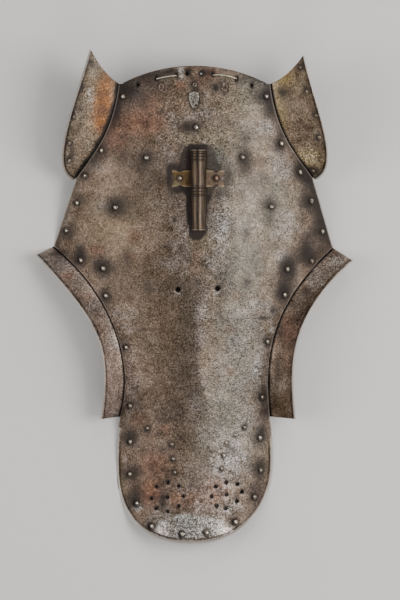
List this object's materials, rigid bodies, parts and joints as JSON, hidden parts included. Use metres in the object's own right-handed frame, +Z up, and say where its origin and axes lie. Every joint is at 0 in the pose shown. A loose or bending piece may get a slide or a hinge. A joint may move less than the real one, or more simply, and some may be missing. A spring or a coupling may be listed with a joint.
{
  "type": "horse head armour",
  "caption": "Plate armour for a horse's face: a curved steel plate with flared ear and eye guards, a brass plume holder, rivets and breathing holes.",
  "frame": {"origin": "centre of the bounding box in plan, on the surface that the armour lies on", "axes": "+Y along the horse's face from the nose to the ears, +Z up out of the face, X across"},
  "size_m": [0.3658, 0.5682, 0.0952],
  "materials": {
    "steel": "hammered sheet steel with an old brown and grey patina, pitting and rust bloom",
    "rivet_steel": "worn steel rivet heads, brighter than the plate",
    "brass": "dull aged brass, brown in the grooves",
    "wire": "pale bare wire"
  },
  "bodies": {
    "root": {"ear_guard_left": "steel", "ear_guard_right": "steel", "eye_guard_left": "steel", "eye_guard_right": "steel", "lacing_wire": "wire", "main_plate": "steel", "plume_holder": "brass", "rivet_bracket_left": "rivet_steel", "rivet_bracket_right": "rivet_steel", "rivet_brow_left": "rivet_steel", "rivet_brow_right": "rivet_steel", "rivet_cheek_left": "rivet_steel", "rivet_cheek_right": "rivet_steel", "rivet_crown": "rivet_steel", "rivet_ear_foot_left": "rivet_steel", "rivet_ear_foot_right": "rivet_steel", "rivet_ear_middle_left": "rivet_steel", "rivet_ear_middle_right": "rivet_steel", "rivet_ear_top_left": "rivet_steel", "rivet_ear_top_right": "rivet_steel", "rivet_eye_foot_left": "rivet_steel", "rivet_eye_foot_right": "rivet_steel", "rivet_eye_lower_left": "rivet_steel", "rivet_eye_lower_right": "rivet_steel", "rivet_eye_top_left": "rivet_steel", "rivet_eye_top_right": "rivet_steel", "rivet_eye_upper_left": "rivet_steel", "rivet_eye_upper_right": "rivet_steel", "rivet_forehead_left": "rivet_steel", "rivet_forehead_right": "rivet_steel", "rivet_nose_corner_left": "rivet_steel", "rivet_nose_corner_right": "rivet_steel", "rivet_nose_end_left": "rivet_steel", "rivet_nose_end_right": "rivet_steel", "rivet_nose_flank_left": "rivet_steel", "rivet_nose_flank_right": "rivet_steel", "rivet_nose_lower_left": "rivet_steel", "rivet_nose_lower_right": "rivet_steel", "rivet_nose_side_left": "rivet_steel", "rivet_nose_side_right": "rivet_steel", "rivet_poll": "rivet_steel", "rivet_shield": "rivet_steel", "rivet_strap_1_left": "rivet_steel", "rivet_strap_1_right": "rivet_steel", "rivet_strap_2_left": "rivet_steel", "rivet_strap_2_right": "rivet_steel", "rivet_strap_3_left": "rivet_steel", "rivet_strap_3_right": "rivet_steel", "rivet_strap_4_left": "rivet_steel", "rivet_strap_4_right": "rivet_steel", "rivet_strap_5_left": "rivet_steel", "rivet_strap_5_right": "rivet_steel", "rivet_temple_lower_left": "rivet_steel", "rivet_temple_lower_right": "rivet_steel", "rivet_temple_upper_left": "rivet_steel", "rivet_temple_upper_right": "rivet_steel", "shield": "rivet_steel"}
  },
  "joints": []
}
